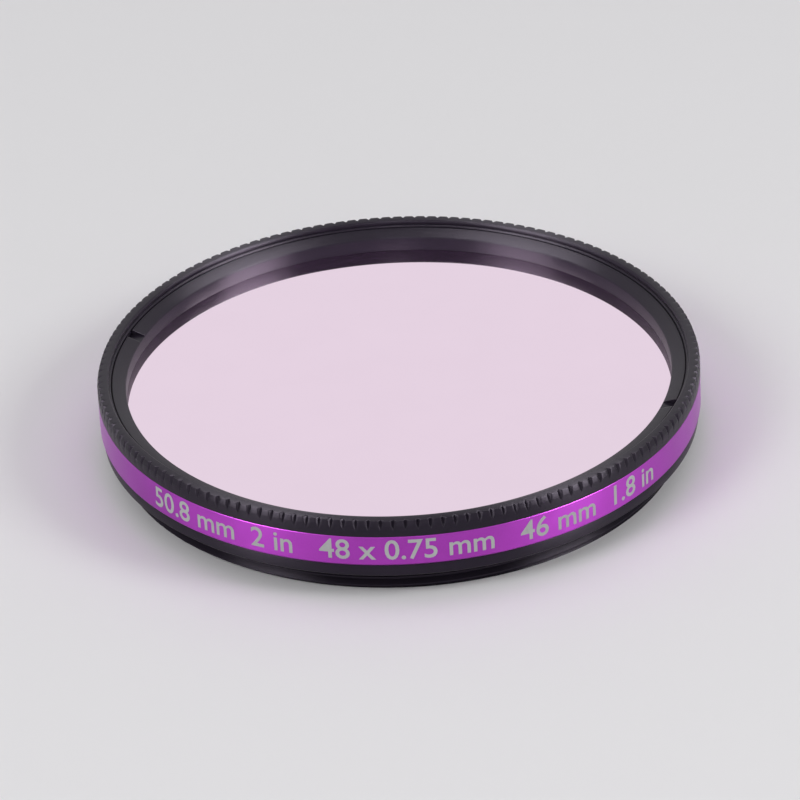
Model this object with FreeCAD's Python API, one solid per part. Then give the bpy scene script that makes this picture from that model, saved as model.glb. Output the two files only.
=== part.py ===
import FreeCAD, Part
import math
import os

# A round mounted optical filter that rejects heat at the front of a solar telescope. It lies thread side down:
# the origin is the centre of the male thread's end face, +Z runs up the optical axis, millimetres.
# From the bottom up: a threaded cell with a lower flange, a coloured band slipped over the cell's wall, a toothed
# grip ring that caps the wall, a coated glass disc on the cell's seat, and a slotted ring that holds the glass.

# Male thread, 48 mm by 0.75 mm: here its crest cylinder, with the chamfer at its end and the run-out groove.
# Its crest diameter drives every radius: each step below is added to the radius of what it surrounds.
thread_crest_d = 47.9
thread_chamfer = 0.3
relief_depth = 0.45

# Radial steps from the thread outward
thread_wall = 1.35
seat_width = 1.0
glass_clearance = 0.1
ring_thread_step = 0.5
ring_clearance = 0.05
wall_thickness = 0.45
sleeve_clearance = 0.02
band_thickness = 0.68
grip_thickness = 0.68
flange_setback = 0.2

# Heights of the stack, from the thread's end to the grip ring's top
thread_length = 1.85
relief_height = 0.25
flange_height = 1.1
band_height = 2.8
grip_height = 1.45

# Cell
stop_chamfer = 0.35
seat_rise = 1.2
ring_thread_runout = 0.2
wall_top_drop = 0.4
flange_chamfer = 0.15
wall_chamfer = 0.1

# Glass disc
glass_thickness = 2.0
glass_bevel = 0.15

# Slotted ring that holds the glass. Its top falls towards the bore, and has two notches for a pin spanner.
ring_overlap = 0.6
ring_height = 1.65
ring_fall = 0.42
ring_edge = 0.08
notch_width = 1.2
notch_depth = 0.6
notch_reach = 1.3
notch_angle = -17.0
notch_count = 2

# Coloured band
band_lower_chamfer = 0.2
band_upper_chamfer = 0.04

# Toothed grip ring: a plain skirt below, and V grooves cut slantwise across the top outer corner. Its outside is a
# polygon with one corner under each groove, so that each tooth has flat sides. It is 0.005 mm off the turned circle.
tooth_count = 156
tooth_face_width = 0.45
tooth_side_height = 0.75
tooth_groove_angle = 80.0
tooth_crest_chamfer = 0.12
grip_lip_width = 0.3
grip_lip_chamfer = 0.14

# Radii that follow, from the light path outward
r_crest = thread_crest_d / 2
r_stop = r_crest - thread_wall
r_glass = r_stop + seat_width
r_ring_bore = r_glass - ring_overlap
r_pocket = r_glass + glass_clearance
r_ring = r_pocket + ring_thread_step
r_ring_thread = r_ring + ring_clearance
r_wall = r_ring_thread + wall_thickness
r_sleeve = r_wall + sleeve_clearance
r_band = r_sleeve + band_thickness
r_grip = r_sleeve + grip_thickness
r_grip_lip = r_sleeve - grip_lip_width
r_flange = r_band - flange_setback

# Levels that follow, from the thread's end up
z_flange = thread_length + relief_height
z_band = z_flange + flange_height
z_grip = z_band + band_height
z_top = z_grip + grip_height
z_wall_top = z_top - wall_top_drop
z_seat = z_flange + seat_rise
z_glass_top = z_seat + glass_thickness
z_ring_thread = z_glass_top - ring_thread_runout
z_ring_top = z_glass_top + ring_height
z_ring_bore = z_ring_top - ring_fall


def turned(points):
    """Solid of revolution about Z from a closed outline of (radius, height) points."""
    corners = [FreeCAD.Vector(r, 0, z) for r, z in points]
    outline = Part.Face(Part.makePolygon(corners + corners[:1]))
    return outline.revolve(FreeCAD.Vector(0, 0, 0), FreeCAD.Vector(0, 0, 1), 360)


def around(shape, count, start=0.0):
    """Copies of a shape, evenly spaced about Z."""
    copies = []
    for i in range(count):
        copy = shape.copy()
        copy.rotate(FreeCAD.Vector(0, 0, 0), FreeCAD.Vector(0, 0, 1), start + 360.0 * i / count)
        copies.append(copy)
    return copies


def make_cell():
    """Base with the male thread and the lower flange, the glass pocket, and the thin wall above the flange."""
    r_relief = r_crest - relief_depth
    return turned([
        (r_stop + stop_chamfer, 0),
        (r_crest - thread_chamfer, 0),
        (r_crest, thread_chamfer),
        (r_crest, thread_length),
        (r_relief, thread_length + relief_height / 2),
        (r_relief, z_flange),
        (r_flange - flange_chamfer, z_flange),
        (r_flange, z_flange + flange_chamfer),
        (r_flange, z_band),
        (r_wall, z_band),
        (r_wall, z_wall_top),
        (r_ring_thread + wall_chamfer, z_wall_top),
        (r_ring_thread, z_wall_top - wall_chamfer),
        (r_ring_thread, z_ring_thread),
        (r_pocket, z_ring_thread),
        (r_pocket, z_seat),
        (r_stop, z_seat),
        (r_stop, stop_chamfer),
    ])


def make_band():
    """Plain sleeve with a bright chamfer along its lower outer edge."""
    return turned([
        (r_sleeve, z_band),
        (r_band - band_lower_chamfer, z_band),
        (r_band, z_band + band_lower_chamfer),
        (r_band, z_grip - band_upper_chamfer),
        (r_band - band_upper_chamfer, z_grip),
        (r_sleeve, z_grip),
    ])


def make_tooth_groove():
    """Slanted V cutter: its bottom line runs from the top face down to the side, and the V opens outward."""
    slope = math.hypot(tooth_face_width, tooth_side_height)
    # Twice the depth at the corner clears it, and the prism runs past both ends of the slanted line.
    reach = 2 * tooth_face_width * tooth_side_height / slope
    half_width = reach * math.tan(math.radians(tooth_groove_angle / 2))
    along = FreeCAD.Vector(tooth_face_width / slope, 0, -tooth_side_height / slope)
    outward = FreeCAD.Vector(tooth_side_height / slope, 0, tooth_face_width / slope)
    across = FreeCAD.Vector(0, 1, 0)
    start = FreeCAD.Vector(r_grip - tooth_face_width, 0, z_top) - along * slope / 2
    triangle = Part.makePolygon([
        start,
        start + outward * reach + across * half_width,
        start + outward * reach - across * half_width,
        start,
    ])
    return Part.Face(triangle).extrude(along * slope * 2)


def tooth_polygon(radius, height):
    """Closed wire with one corner under each groove."""
    pitch = 2 * math.pi / tooth_count
    corners = [FreeCAD.Vector(radius * math.cos(i * pitch), radius * math.sin(i * pitch), height)
               for i in range(tooth_count)]
    return Part.makePolygon(corners + corners[:1])


def make_grip_ring():
    """Cap ring with an inner lip over the cell's wall and a toothed top corner."""
    blank = Part.makeLoft([
        tooth_polygon(r_grip, z_grip),
        tooth_polygon(r_grip, z_top - tooth_crest_chamfer),
        tooth_polygon(r_grip - tooth_crest_chamfer, z_top),
    ], True, True)
    bore = turned([
        (0, z_grip),
        (r_sleeve, z_grip),
        (r_sleeve, z_wall_top),
        (r_grip_lip, z_wall_top),
        (r_grip_lip, z_top - grip_lip_chamfer),
        (r_grip_lip + grip_lip_chamfer, z_top),
        (0, z_top),
    ])
    return blank.cut([bore] + around(make_tooth_groove(), tooth_count))


def make_glass():
    """Flat disc with a small bevel round both edges."""
    return turned([
        (0, z_seat),
        (r_glass - glass_bevel, z_seat),
        (r_glass, z_seat + glass_bevel),
        (r_glass, z_glass_top - glass_bevel),
        (r_glass - glass_bevel, z_glass_top),
        (0, z_glass_top),
    ])


def make_retaining_ring():
    """Ring with a sloping top, eased upper edges, and two notches with level floors."""
    edge_fall = ring_edge * ring_fall / (r_ring - r_ring_bore)
    blank = turned([
        (r_ring_bore, z_glass_top),
        (r_ring, z_glass_top),
        (r_ring, z_ring_top - ring_edge),
        (r_ring - ring_edge, z_ring_top - edge_fall),
        (r_ring_bore + ring_edge, z_ring_bore + edge_fall),
        (r_ring_bore, z_ring_bore - ring_edge),
    ])
    corner = FreeCAD.Vector(r_ring_bore - notch_reach, -notch_width / 2, z_ring_top - notch_depth)
    notch = Part.makeBox(2 * notch_reach, notch_width, 2 * notch_depth, corner)
    return blank.cut(around(notch, notch_count, notch_angle))


parts = {
    "filter_cell": make_cell(),
    "color_band": make_band(),
    "grip_ring": make_grip_ring(),
    "filter_glass": make_glass(),
    "retaining_ring": make_retaining_ring(),
}

os.makedirs("parts", exist_ok=True)
for node, shape in parts.items():
    shape.exportStep("parts/" + node + ".step")
    print(node, "solids", len(shape.Solids), "volume", round(shape.Volume, 2), "valid", shape.isValid())
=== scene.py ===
import math

import bpy
from mathutils import Matrix, Vector


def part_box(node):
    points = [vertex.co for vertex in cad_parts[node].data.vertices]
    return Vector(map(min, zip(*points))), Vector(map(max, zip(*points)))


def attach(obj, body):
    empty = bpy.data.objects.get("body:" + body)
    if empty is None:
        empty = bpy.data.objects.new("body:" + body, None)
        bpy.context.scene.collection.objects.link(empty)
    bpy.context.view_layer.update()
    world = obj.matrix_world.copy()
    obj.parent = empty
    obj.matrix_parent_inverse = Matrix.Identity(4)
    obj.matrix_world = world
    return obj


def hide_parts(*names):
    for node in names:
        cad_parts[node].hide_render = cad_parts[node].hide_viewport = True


# The finish of a round mounted filter that lies thread side down: black satin rings, a purple band with
# pale size marks, and a coated glass disc that shines like a pale pink mirror. Pieces are shaped in
# millimetres and scaled to metres at the end. Heights run up the optical axis from the male thread's end
# face, and radii from that axis.

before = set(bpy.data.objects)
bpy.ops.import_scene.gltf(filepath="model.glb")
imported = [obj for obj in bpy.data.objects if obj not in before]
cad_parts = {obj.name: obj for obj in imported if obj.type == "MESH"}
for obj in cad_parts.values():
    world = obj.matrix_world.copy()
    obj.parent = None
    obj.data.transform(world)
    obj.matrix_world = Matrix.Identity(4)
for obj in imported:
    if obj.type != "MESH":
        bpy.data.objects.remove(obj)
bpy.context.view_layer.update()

MM = 0.001
FULL_TURN = 2 * math.pi

# Points closer together than this are merged
WELD = 0.002

# Turned surfaces
TURN_STEPS = 400
EDGE_BREAK = 0.03
EDGE_SEGMENTS = 2
SMOOTH_ANGLE = math.radians(28)


def extent(node):
    """Outer radius, bottom and top of a CAD node, in millimetres."""
    low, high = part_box(node)
    return high.x / MM, low.z / MM, high.z / MM


CELL_R, CELL_FOOT, WALL_TOP = extent("filter_cell")
BAND_R, BAND_FOOT, BAND_TOP = extent("color_band")
GRIP_R, GRIP_FOOT, GRIP_TOP = extent("grip_ring")
RING_R, RING_FOOT, RING_TOP = extent("retaining_ring")
GLASS_R, GLASS_FOOT, GLASS_TOP = extent("filter_glass")

# Fits and walls inside the stack
SLEEVE_GAP = 0.02
RING_GAP = 0.05
GLASS_GAP = 0.1
WALL_THICKNESS = 0.45
WALL_R = RING_R + RING_GAP + WALL_THICKNESS
SLEEVE_R = WALL_R + SLEEVE_GAP
SEAT_WIDTH = 1.0
STOP_R = GLASS_R - SEAT_WIDTH
STOP_CHAMFER = 0.35
WALL_CHAMFER = 0.1
RING_THREAD_RUNOUT = 0.2
FLANGE_FOOT = 2.1
FLANGE_CHAMFER = 0.15

# Male thread, 48 mm by 0.75 mm
THREAD_CREST = 23.95
THREAD_DEPTH = 0.46
THREAD_PITCH = 0.75
THREAD_LENGTH = 1.85
THREAD_CHAMFER = 0.3
GROOVE_MOUTH = 0.656
GROOVE_ROOT = 0.12
GROOVE_START = -0.45
GROOVE_TURNS = 3
GROOVE_STEPS = 240

# Slotted ring, whose top falls towards the bore
RING_OVERLAP = 0.6
RING_BORE = GLASS_R - RING_OVERLAP
RING_EDGE = 0.08
RING_SLOPE = 0.35
NOTCH_WIDTH = 1.1
NOTCH_DEPTH = 0.45
NOTCH_REACH = 1.3
NOTCH_ANGLE = math.radians(-17)
NOTCH_COUNT = 2
NOTCH_EDGE = 0.03
NOTCH_EDGE_TURN = math.radians(50)

# Purple band
BAND_LOWER_CHAMFER = 0.2
BAND_UPPER_CHAMFER = 0.04

# Toothed grip ring: grooves reach from the top face down to the side, and crests lean in towards the top
TOOTH_COUNT = 156
STEPS_PER_TOOTH = 3
TOOTH_FACE = 0.43
TOOTH_SIDE = 0.85
TOOTH_ANGLE = math.radians(80)
TOOTH_CREST = 0.14
TOOTH_CREST_DROP = 0.45
TOOTH_EDGE = 0.02
TOOTH_EDGE_TURN = math.radians(30)
LIP_WIDTH = 0.3
LIP_CHAMFER = 0.14

# Coated glass
GLASS_SIDES = 320
GLASS_BEVEL = 0.15
GLASS_EDGE_TURN = math.radians(60)

# Size marks on the band
MARK_TEXT = "50.8 mm  2 in   48 x 0.75 mm   46 mm  1.8 in"
MARK_SIZE = 2.6
MARK_BOLD = 0.025
MARK_CURVE_STEPS = 4
MARK_LEVEL = 3.9
MARK_PROUD = 0.008
MARK_DEPTH = 0.016
MARK_CENTRE = math.radians(-87.5)
MARK_SLICE = 0.3

# Surface noise: turning lines, fine grain and soft clouds, which all swing about one mean. The fine share
# is how much the grain counts beside the clouds in the tone, and the lines in the roughness.
LINES_PER_METRE = 20000
LINE_DETAIL = 3
GRAIN_SCALE = 9000
GRAIN_DETAIL = 2
CLOUD_SCALE = 200
CLOUD_DETAIL = 3
NOISE_MEAN = 0.5
FINE_SHARE = 0.5

# A quarter turn lets the brushed gloss run round the axis
BRUSHED_TURN = 0.25


def select_only(piece):
    """Make one object the only selected and the active one."""
    bpy.ops.object.select_all(action="DESELECT")
    piece.select_set(True)
    bpy.context.view_layer.objects.active = piece


def edit(piece):
    """Open one object in edit mode with all of it selected."""
    select_only(piece)
    bpy.ops.object.mode_set(mode="EDIT")
    bpy.ops.mesh.select_all(action="SELECT")


def leave_edit():
    bpy.ops.object.mode_set(mode="OBJECT")


def drawn(name, points):
    """Flat polygon through the given points, from a circle primitive."""
    bpy.ops.object.select_all(action="DESELECT")
    bpy.ops.mesh.primitive_circle_add(vertices=len(points), radius=1, fill_type="NGON")
    polygon = bpy.context.object
    polygon.name = name
    for vertex, point in zip(polygon.data.vertices, points):
        vertex.co = point
    return polygon


def turned(name, outline, steps=TURN_STEPS):
    """Ring turned about the optical axis from a closed outline of (radius, height), its corners broken."""
    ring = drawn(name, [(radius, 0, height) for radius, height in outline])
    edit(ring)
    bpy.ops.mesh.bevel(offset=EDGE_BREAK, segments=EDGE_SEGMENTS, affect="VERTICES")
    bpy.ops.mesh.select_all(action="SELECT")
    bpy.ops.mesh.delete(type="ONLY_FACE")
    bpy.ops.mesh.select_all(action="SELECT")
    bpy.ops.mesh.spin(steps=steps, angle=FULL_TURN, center=(0, 0, 0), axis=(0, 0, 1))
    bpy.ops.mesh.select_all(action="SELECT")
    bpy.ops.mesh.remove_doubles(threshold=WELD)
    bpy.ops.mesh.normals_make_consistent(inside=False)
    leave_edit()
    return ring


def repeat_round(piece, count):
    """Copies of a piece's mesh, evenly spaced about the optical axis."""
    edit(piece)
    bpy.ops.mesh.spin(steps=count - 1, angle=FULL_TURN * (count - 1) / count, dupli=True,
                      center=(0, 0, 0), axis=(0, 0, 1))
    leave_edit()


def apply_modifier(piece, kind, **values):
    """Add a modifier with the given values and apply it."""
    modifier = piece.modifiers.new(kind.title(), kind)
    for key, value in values.items():
        setattr(modifier, key, value)
    select_only(piece)
    bpy.ops.object.modifier_apply(modifier=modifier.name)


def carve(piece, cutter):
    """Cut one mesh out of another, remove the cutter and merge the slivers that the cut leaves."""
    apply_modifier(piece, "BOOLEAN", operation="DIFFERENCE", solver="EXACT", object=cutter)
    bpy.data.objects.remove(cutter)
    edit(piece)
    bpy.ops.mesh.remove_doubles(threshold=WELD)
    leave_edit()


def break_edges(piece, width, angle, segments=EDGE_SEGMENTS):
    """Bevel every edge that turns by more than the given angle."""
    apply_modifier(piece, "BEVEL", width=width, segments=segments, limit_method="ANGLE", angle_limit=angle)


def finish_piece(piece, material, nodes=()):
    """Scale a piece to metres, shade it, dress it and let it stand for its CAD nodes."""
    select_only(piece)
    bpy.ops.object.transform_apply(location=True, rotation=True, scale=True)
    bpy.ops.transform.resize(value=(MM, MM, MM))
    bpy.ops.object.transform_apply(location=True, rotation=True, scale=True)
    bpy.ops.object.shade_smooth_by_angle(angle=SMOOTH_ANGLE)
    apply_modifier(piece, "WEIGHTED_NORMAL", keep_sharp=True)
    piece.data.materials.clear()
    piece.data.materials.append(material)
    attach(piece, "root")
    if nodes:
        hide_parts(*nodes)


def make_thread_cutter():
    """Helical V cutter with a flat root, from below the thread's end to the run-out groove."""
    root = THREAD_CREST - THREAD_DEPTH
    clear = THREAD_CREST + THREAD_DEPTH / 2
    slope = (GROOVE_MOUTH - GROOVE_ROOT) / 2 / THREAD_DEPTH
    mouth = GROOVE_ROOT / 2 + slope * (clear - root)
    cutter = drawn("thread_cutter", [
        (root, 0, GROOVE_START - GROOVE_ROOT / 2),
        (clear, 0, GROOVE_START - mouth),
        (clear, 0, GROOVE_START + mouth),
        (root, 0, GROOVE_START + GROOVE_ROOT / 2),
    ])
    edit(cutter)
    bpy.ops.mesh.delete(type="ONLY_FACE")
    leave_edit()
    apply_modifier(cutter, "SCREW", angle=FULL_TURN, steps=GROOVE_STEPS, render_steps=GROOVE_STEPS,
                   screw_offset=THREAD_PITCH, iterations=GROOVE_TURNS,
                   use_merge_vertices=True, merge_threshold=WELD)
    edit(cutter)
    bpy.ops.mesh.fill_holes(sides=0)
    bpy.ops.mesh.select_all(action="SELECT")
    bpy.ops.mesh.normals_make_consistent(inside=False)
    leave_edit()
    return cutter


def make_cell():
    """Threaded cell: thread, run-out groove, flange, glass seat and the wall that carries the rings."""
    root = THREAD_CREST - THREAD_DEPTH
    seat_bore = GLASS_R + GLASS_GAP
    ring_bore = RING_R + RING_GAP
    ring_step = GLASS_TOP - RING_THREAD_RUNOUT
    cell = turned("filter_cell_turned", [
        (STOP_R + STOP_CHAMFER, CELL_FOOT),
        (THREAD_CREST - THREAD_CHAMFER, CELL_FOOT),
        (THREAD_CREST, CELL_FOOT + THREAD_CHAMFER),
        (THREAD_CREST, THREAD_LENGTH),
        (root, THREAD_LENGTH + (FLANGE_FOOT - THREAD_LENGTH) / 2),
        (root, FLANGE_FOOT),
        (CELL_R - FLANGE_CHAMFER, FLANGE_FOOT),
        (CELL_R, FLANGE_FOOT + FLANGE_CHAMFER),
        (CELL_R, BAND_FOOT),
        (WALL_R, BAND_FOOT),
        (WALL_R, WALL_TOP),
        (ring_bore + WALL_CHAMFER, WALL_TOP),
        (ring_bore, WALL_TOP - WALL_CHAMFER),
        (ring_bore, ring_step),
        (seat_bore, ring_step),
        (seat_bore, GLASS_FOOT),
        (STOP_R, GLASS_FOOT),
        (STOP_R, CELL_FOOT + STOP_CHAMFER),
    ])
    carve(cell, make_thread_cutter())
    return cell


def make_band():
    """Purple sleeve with a chamfer along its lower edge."""
    return turned("color_band_sleeve", [
        (SLEEVE_R, BAND_FOOT),
        (BAND_R - BAND_LOWER_CHAMFER, BAND_FOOT),
        (BAND_R, BAND_FOOT + BAND_LOWER_CHAMFER),
        (BAND_R, BAND_TOP - BAND_UPPER_CHAMFER),
        (BAND_R - BAND_UPPER_CHAMFER, BAND_TOP),
        (SLEEVE_R, BAND_TOP),
    ])


def make_tooth_cutter():
    """V cutters across the grip ring's top outer corner, one for each gap between teeth.

    Each V opens to a quarter past the corner. Its slanted bottom line runs on by a quarter at each end.
    """
    margin = 1 / 4
    slope = math.hypot(TOOTH_FACE, TOOTH_SIDE)
    depth = TOOTH_FACE * TOOTH_SIDE / slope
    reach = (1 + margin) * depth
    half_width = reach * math.tan(TOOTH_ANGLE / 2)
    along = Vector((TOOTH_FACE / slope, 0, -TOOTH_SIDE / slope))
    outward = Vector((TOOTH_SIDE / slope, 0, TOOTH_FACE / slope))
    across = Vector((0, 1, 0))
    start = Vector((GRIP_R - TOOTH_FACE, 0, GRIP_TOP)) - along * slope * margin
    cutter = drawn("tooth_cutter", [
        start,
        start + outward * reach + across * half_width,
        start + outward * reach - across * half_width,
    ])
    edit(cutter)
    bpy.ops.mesh.extrude_region_move(TRANSFORM_OT_translate={"value": along * slope * (1 + 2 * margin)})
    bpy.ops.mesh.select_all(action="SELECT")
    bpy.ops.mesh.normals_make_consistent(inside=False)
    leave_edit()
    repeat_round(cutter, TOOTH_COUNT)
    return cutter


def make_grip_ring():
    """Black cap ring with a plain skirt, a toothed top corner and a chamfered inner lip."""
    lip = SLEEVE_R - LIP_WIDTH
    ring = turned("grip_ring_toothed", [
        (SLEEVE_R, GRIP_FOOT),
        (GRIP_R, GRIP_FOOT),
        (GRIP_R, GRIP_TOP - TOOTH_CREST_DROP),
        (GRIP_R - TOOTH_CREST, GRIP_TOP),
        (lip + LIP_CHAMFER, GRIP_TOP),
        (lip, GRIP_TOP - LIP_CHAMFER),
        (lip, WALL_TOP),
        (SLEEVE_R, WALL_TOP),
    ], steps=TOOTH_COUNT * STEPS_PER_TOOTH)
    carve(ring, make_tooth_cutter())
    break_edges(ring, TOOTH_EDGE, TOOTH_EDGE_TURN)
    return ring


def make_retaining_ring():
    """Black ring with a sloping top and two opposite notches for a pin spanner."""
    edge_fall = RING_EDGE * RING_SLOPE
    bore_edge = RING_TOP - (RING_R - RING_BORE - 2 * RING_EDGE) * RING_SLOPE
    ring = turned("retaining_ring_slotted", [
        (RING_BORE, RING_FOOT),
        (RING_R, RING_FOOT),
        (RING_R, RING_TOP + edge_fall - RING_EDGE),
        (RING_R - RING_EDGE, RING_TOP),
        (RING_BORE + RING_EDGE, bore_edge),
        (RING_BORE, bore_edge - edge_fall - RING_EDGE),
    ])
    bpy.ops.object.select_all(action="DESELECT")
    bpy.ops.mesh.primitive_cube_add(size=1, location=(RING_BORE, 0, RING_TOP))
    cutter = bpy.context.object
    edit(cutter)
    bpy.ops.transform.resize(value=(2 * NOTCH_REACH, NOTCH_WIDTH, 2 * NOTCH_DEPTH))
    leave_edit()
    select_only(cutter)
    bpy.ops.object.transform_apply(location=True, rotation=True, scale=True)
    repeat_round(cutter, NOTCH_COUNT)
    cutter.rotation_euler.z = NOTCH_ANGLE
    bpy.context.view_layer.update()
    carve(ring, cutter)
    break_edges(ring, NOTCH_EDGE, NOTCH_EDGE_TURN)
    return ring


def make_glass():
    """Flat coated disc with a bevel round both edges."""
    bpy.ops.object.select_all(action="DESELECT")
    middle = (GLASS_FOOT + GLASS_TOP) / 2
    bpy.ops.mesh.primitive_cylinder_add(vertices=GLASS_SIDES, radius=GLASS_R, depth=GLASS_TOP - GLASS_FOOT,
                                        location=(0, 0, middle))
    glass = bpy.context.object
    glass.name = "filter_glass_disc"
    break_edges(glass, GLASS_BEVEL, GLASS_EDGE_TURN, segments=1)
    return glass


def make_marks():
    """Pale size marks, bent round the band's wall."""
    bpy.ops.object.select_all(action="DESELECT")
    bpy.ops.object.text_add()
    marks = bpy.context.object
    marks.name = "band_marks"
    marks.data.body = MARK_TEXT
    marks.data.size = MARK_SIZE
    marks.data.offset = MARK_BOLD
    marks.data.align_x = "CENTER"
    marks.data.resolution_u = MARK_CURVE_STEPS
    select_only(marks)
    bpy.ops.object.convert(target="MESH")
    width = marks.dimensions.x
    edit(marks)
    for cut in range(1, int(width / MARK_SLICE)):
        bpy.ops.mesh.select_all(action="SELECT")
        bpy.ops.mesh.bisect(plane_co=(cut * MARK_SLICE - width / 2, 0, 0), plane_no=(1, 0, 0))
    leave_edit()
    apply_modifier(marks, "SOLIDIFY", thickness=MARK_DEPTH, offset=0)
    wrap_radius = BAND_R + MARK_PROUD - MARK_DEPTH / 2
    for vertex in marks.data.vertices:
        angle = MARK_CENTRE + vertex.co.x / BAND_R
        radius = wrap_radius + vertex.co.z
        vertex.co = (radius * math.cos(angle), radius * math.sin(angle), MARK_LEVEL + vertex.co.y)
    return marks


def make_surface_finish():
    """Shared surface finish: turning lines, fine grain and soft clouds, from each point's own place."""
    group = bpy.data.node_groups.new("surface_finish", "ShaderNodeTree")
    face = group.interface
    for name, kind in (("Color", "NodeSocketColor"), ("Tone Spread", "NodeSocketFloat"),
                       ("Roughness", "NodeSocketFloat"), ("Roughness Spread", "NodeSocketFloat"),
                       ("Line Height", "NodeSocketFloat"), ("Grain Height", "NodeSocketFloat"),
                       ("Grain Scale", "NodeSocketFloat"), ("Cloud Scale", "NodeSocketFloat")):
        face.new_socket(name, in_out="INPUT", socket_type=kind)
    for name, kind in (("Color", "NodeSocketColor"), ("Roughness", "NodeSocketFloat"),
                       ("Height", "NodeSocketFloat")):
        face.new_socket(name, in_out="OUTPUT", socket_type=kind)
    nodes = group.nodes
    link = group.links.new
    given = nodes.new("NodeGroupInput")
    result = nodes.new("NodeGroupOutput")
    place = nodes.new("ShaderNodeTexCoord").outputs["Object"]

    def math_node(operation, first, second=None):
        node = nodes.new("ShaderNodeMath")
        node.operation = operation
        for socket, value in zip(node.inputs, (first, second)):
            if isinstance(value, bpy.types.NodeSocket):
                link(value, socket)
            elif value is not None:
                socket.default_value = value
        return node.outputs[0]

    def noise(scale, detail):
        node = nodes.new("ShaderNodeTexNoise")
        node.inputs["Detail"].default_value = detail
        link(place, node.inputs["Vector"])
        link(given.outputs[scale], node.inputs["Scale"])
        return math_node("SUBTRACT", node.outputs[0], NOISE_MEAN)

    split = nodes.new("ShaderNodeSeparateXYZ")
    link(place, split.inputs[0])
    x, y, height = split.outputs
    radius = math_node("SQRT", math_node("ADD", math_node("MULTIPLY", x, x), math_node("MULTIPLY", y, y)))
    lines = nodes.new("ShaderNodeTexNoise")
    lines.noise_dimensions = "1D"
    lines.inputs["Scale"].default_value = LINES_PER_METRE
    lines.inputs["Detail"].default_value = LINE_DETAIL
    link(math_node("ADD", radius, height), lines.inputs["W"])
    line = math_node("SUBTRACT", lines.outputs[0], NOISE_MEAN)
    grain = noise("Grain Scale", GRAIN_DETAIL)
    cloud = noise("Cloud Scale", CLOUD_DETAIL)

    tint = nodes.new("ShaderNodeHueSaturation")
    link(given.outputs["Color"], tint.inputs["Color"])
    tone = math_node("ADD", cloud, math_node("MULTIPLY", grain, FINE_SHARE))
    tone_change = math_node("MULTIPLY", tone, given.outputs["Tone Spread"])
    link(math_node("ADD", tone_change, 1), tint.inputs["Value"])
    link(tint.outputs["Color"], result.inputs["Color"])

    sheen = math_node("ADD", cloud, math_node("MULTIPLY", line, FINE_SHARE))
    sheen_change = math_node("MULTIPLY", sheen, given.outputs["Roughness Spread"])
    link(math_node("ADD", given.outputs["Roughness"], sheen_change), result.inputs["Roughness"])

    line_relief = math_node("MULTIPLY", line, given.outputs["Line Height"])
    grain_relief = math_node("MULTIPLY", grain, given.outputs["Grain Height"])
    link(math_node("ADD", line_relief, grain_relief), result.inputs["Height"])
    return group


SURFACE_FINISH = make_surface_finish()


def make_material(name, color, roughness, metallic, tone_spread, roughness_spread, line_height,
                  grain_height, ior=1.5, gloss_tint=(1, 1, 1), brushed=0.0):
    """Principled material whose colour, roughness and fine relief come from the shared surface finish."""
    material = bpy.data.materials.new(name)
    material.use_nodes = True
    nodes = material.node_tree.nodes
    link = material.node_tree.links.new
    shader = nodes["Principled BSDF"]
    shader.inputs["Metallic"].default_value = metallic
    shader.inputs["IOR"].default_value = ior
    shader.inputs["Specular Tint"].default_value = (*gloss_tint, 1)
    shader.inputs["Anisotropic"].default_value = brushed
    shader.inputs["Anisotropic Rotation"].default_value = BRUSHED_TURN
    finish = nodes.new("ShaderNodeGroup")
    finish.node_tree = SURFACE_FINISH
    for key, value in (("Color", (*color, 1)), ("Tone Spread", tone_spread), ("Roughness", roughness),
                       ("Roughness Spread", roughness_spread), ("Line Height", line_height),
                       ("Grain Height", grain_height), ("Grain Scale", GRAIN_SCALE),
                       ("Cloud Scale", CLOUD_SCALE)):
        finish.inputs[key].default_value = value
    link(finish.outputs["Color"], shader.inputs["Base Color"])
    link(finish.outputs["Roughness"], shader.inputs["Roughness"])
    if line_height or grain_height:
        bump = nodes.new("ShaderNodeBump")
        bump.inputs["Distance"].default_value = MM
        link(finish.outputs["Height"], bump.inputs["Height"])
        link(bump.outputs["Normal"], shader.inputs["Normal"])
    return material


BLACK_ANODISED = make_material(
    "black_anodised", (0.013, 0.010, 0.017), roughness=0.32, metallic=0.0, tone_spread=0.5,
    roughness_spread=0.12, line_height=0.004, grain_height=0.006,
    ior=1.29, gloss_tint=(0.93, 0.82, 1.0), brushed=1.0)
PURPLE_ANODISED = make_material(
    "purple_anodised", (0.38, 0.055, 0.44), roughness=0.32, metallic=1.0, tone_spread=0.25,
    roughness_spread=0.10, line_height=0.004, grain_height=0.004, brushed=0.8)
COATED_GLASS = make_material(
    "coated_glass", (0.775, 0.631, 0.745), roughness=0.015, metallic=1.0, tone_spread=0.03,
    roughness_spread=0.01, line_height=0, grain_height=0)
PALE_MARKING = make_material(
    "pale_marking", (0.40, 0.42, 0.41), roughness=0.55, metallic=0.0, tone_spread=0.2,
    roughness_spread=0.1, line_height=0, grain_height=0.004)

finish_piece(make_cell(), BLACK_ANODISED, ["filter_cell"])
finish_piece(make_band(), PURPLE_ANODISED, ["color_band"])
finish_piece(make_grip_ring(), BLACK_ANODISED, ["grip_ring"])
finish_piece(make_retaining_ring(), BLACK_ANODISED, ["retaining_ring"])
finish_piece(make_glass(), COATED_GLASS, ["filter_glass"])
finish_piece(make_marks(), PALE_MARKING)


# Studio, in metres
FLOOR_SIZE = 4.0
FLOOR_COLOR = (0.80, 0.79, 0.81)
FLOOR_ROUGHNESS = 0.8
ROOM_LEVEL = 0.45
WHITE = (1, 1, 1, 1)

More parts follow.
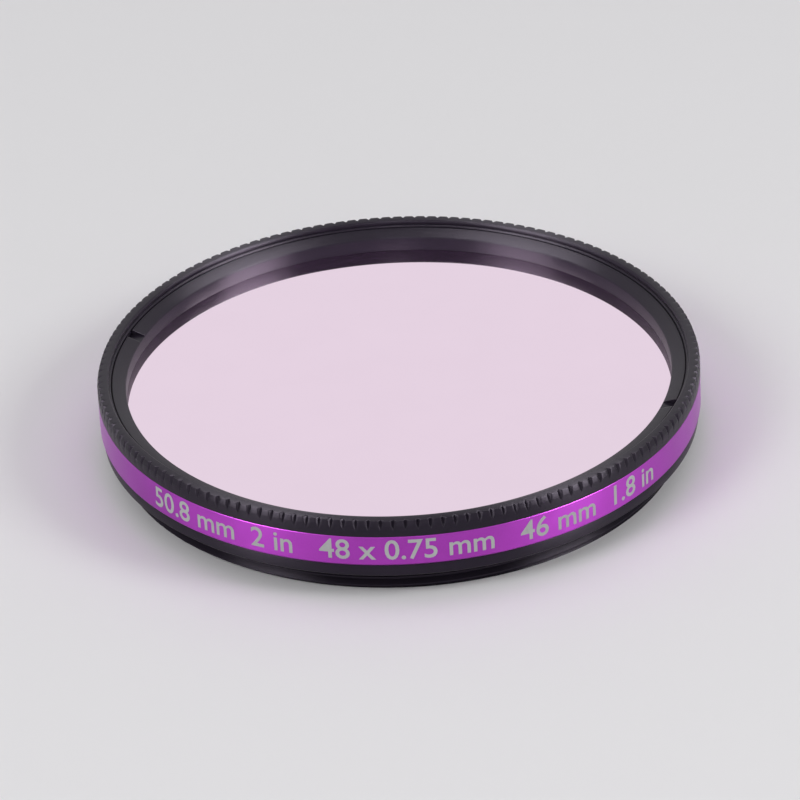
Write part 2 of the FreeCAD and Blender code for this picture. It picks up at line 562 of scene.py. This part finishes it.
# Each lamp's name, place, size, power in watts, and whether it lights matt surfaces as well as gloss
LAMPS = (
    ("left_softbox", (-0.42, -0.35, 0.45), 0.30, 1.4, True),
    ("right_softbox", (0.50, -0.15, 0.38), 0.25, 1.2, True),
    ("left_low_sheen", (-0.46, -0.31, 0.34), 0.34, 4.0, False),
    ("left_high_sheen", (-0.22, 0.16, 0.59), 0.30, 3.6, False),
    ("right_low_sheen", (0.51, -0.225, 0.335), 0.34, 6.0, False),
    ("right_high_sheen", (0.26, 0.18, 0.57), 0.30, 3.9, False),
    ("front_sheen", (0.0, -0.335, 0.557), 0.10, 0.6, False),
)
CAMERA_PLACE = Vector((0.01877, -0.43539, 0.26342))
CAMERA_UP = Vector((0.0286, 0.5157, 0.8563))
CAMERA_LENS = 270
CAMERA_NEAR = 0.01
CAMERA_FAR = 10


def add_floor():
    bpy.ops.object.select_all(action="DESELECT")
    bpy.ops.mesh.primitive_plane_add(size=FLOOR_SIZE)
    floor = bpy.context.object
    floor.name = "floor"
    material = bpy.data.materials.new("floor_paper")
    material.use_nodes = True
    shader = material.node_tree.nodes["Principled BSDF"]
    shader.inputs["Base Color"].default_value = (*FLOOR_COLOR, 1)
    shader.inputs["Roughness"].default_value = FLOOR_ROUGHNESS
    floor.data.materials.append(material)


def add_world():
    """Even pale room: white to the camera and in reflections, and a plain level on matt surfaces."""
    world = bpy.data.worlds.new("room")
    world.use_nodes = True
    bpy.context.scene.world = world
    nodes = world.node_tree.nodes
    link = world.node_tree.links.new
    room = nodes["Background"]
    room.inputs["Color"].default_value = WHITE
    room.inputs["Strength"].default_value = ROOM_LEVEL
    white = nodes.new("ShaderNodeBackground")
    white.inputs["Color"].default_value = WHITE
    rays = nodes.new("ShaderNodeLightPath").outputs
    seen = rays["Is Camera Ray"]
    for other in ("Is Glossy Ray", "Is Transmission Ray"):
        either = nodes.new("ShaderNodeMath")
        either.operation = "MAXIMUM"
        link(seen, either.inputs[0])
        link(rays[other], either.inputs[1])
        seen = either.outputs[0]
    mix = nodes.new("ShaderNodeMixShader")
    link(seen, mix.inputs[0])
    link(room.outputs[0], mix.inputs[1])
    link(white.outputs[0], mix.inputs[2])
    link(mix.outputs[0], nodes["World Output"].inputs["Surface"])


def add_lamps(target):
    for name, place, size, power, on_matt in LAMPS:
        bpy.ops.object.light_add(type="AREA", location=place)
        lamp = bpy.context.object
        lamp.name = name
        lamp.data.shape = "DISK"
        lamp.data.size = size
        lamp.data.energy = power
        lamp.visible_diffuse = on_matt
        lamp.rotation_euler = (target - Vector(place)).to_track_quat("-Z", "Y").to_euler()


def add_camera(target):
    """Camera at the photograph's viewing angle, with its slight tilt, closer in on the object."""
    forward = (target - CAMERA_PLACE).normalized()
    right = forward.cross(CAMERA_UP).normalized()
    up = right.cross(forward)
    bpy.ops.object.camera_add(location=CAMERA_PLACE)
    camera = bpy.context.object
    camera.rotation_euler = Matrix((right, up, -forward)).transposed().to_euler()
    camera.data.lens = CAMERA_LENS
    camera.data.clip_start = CAMERA_NEAR
    camera.data.clip_end = CAMERA_FAR
    bpy.context.scene.camera = camera


centre = Vector((0, 0, GRIP_TOP * MM / 2))
add_floor()
add_world()
add_lamps(centre)
add_camera(centre)
bpy.context.scene.view_settings.view_transform = "Standard"
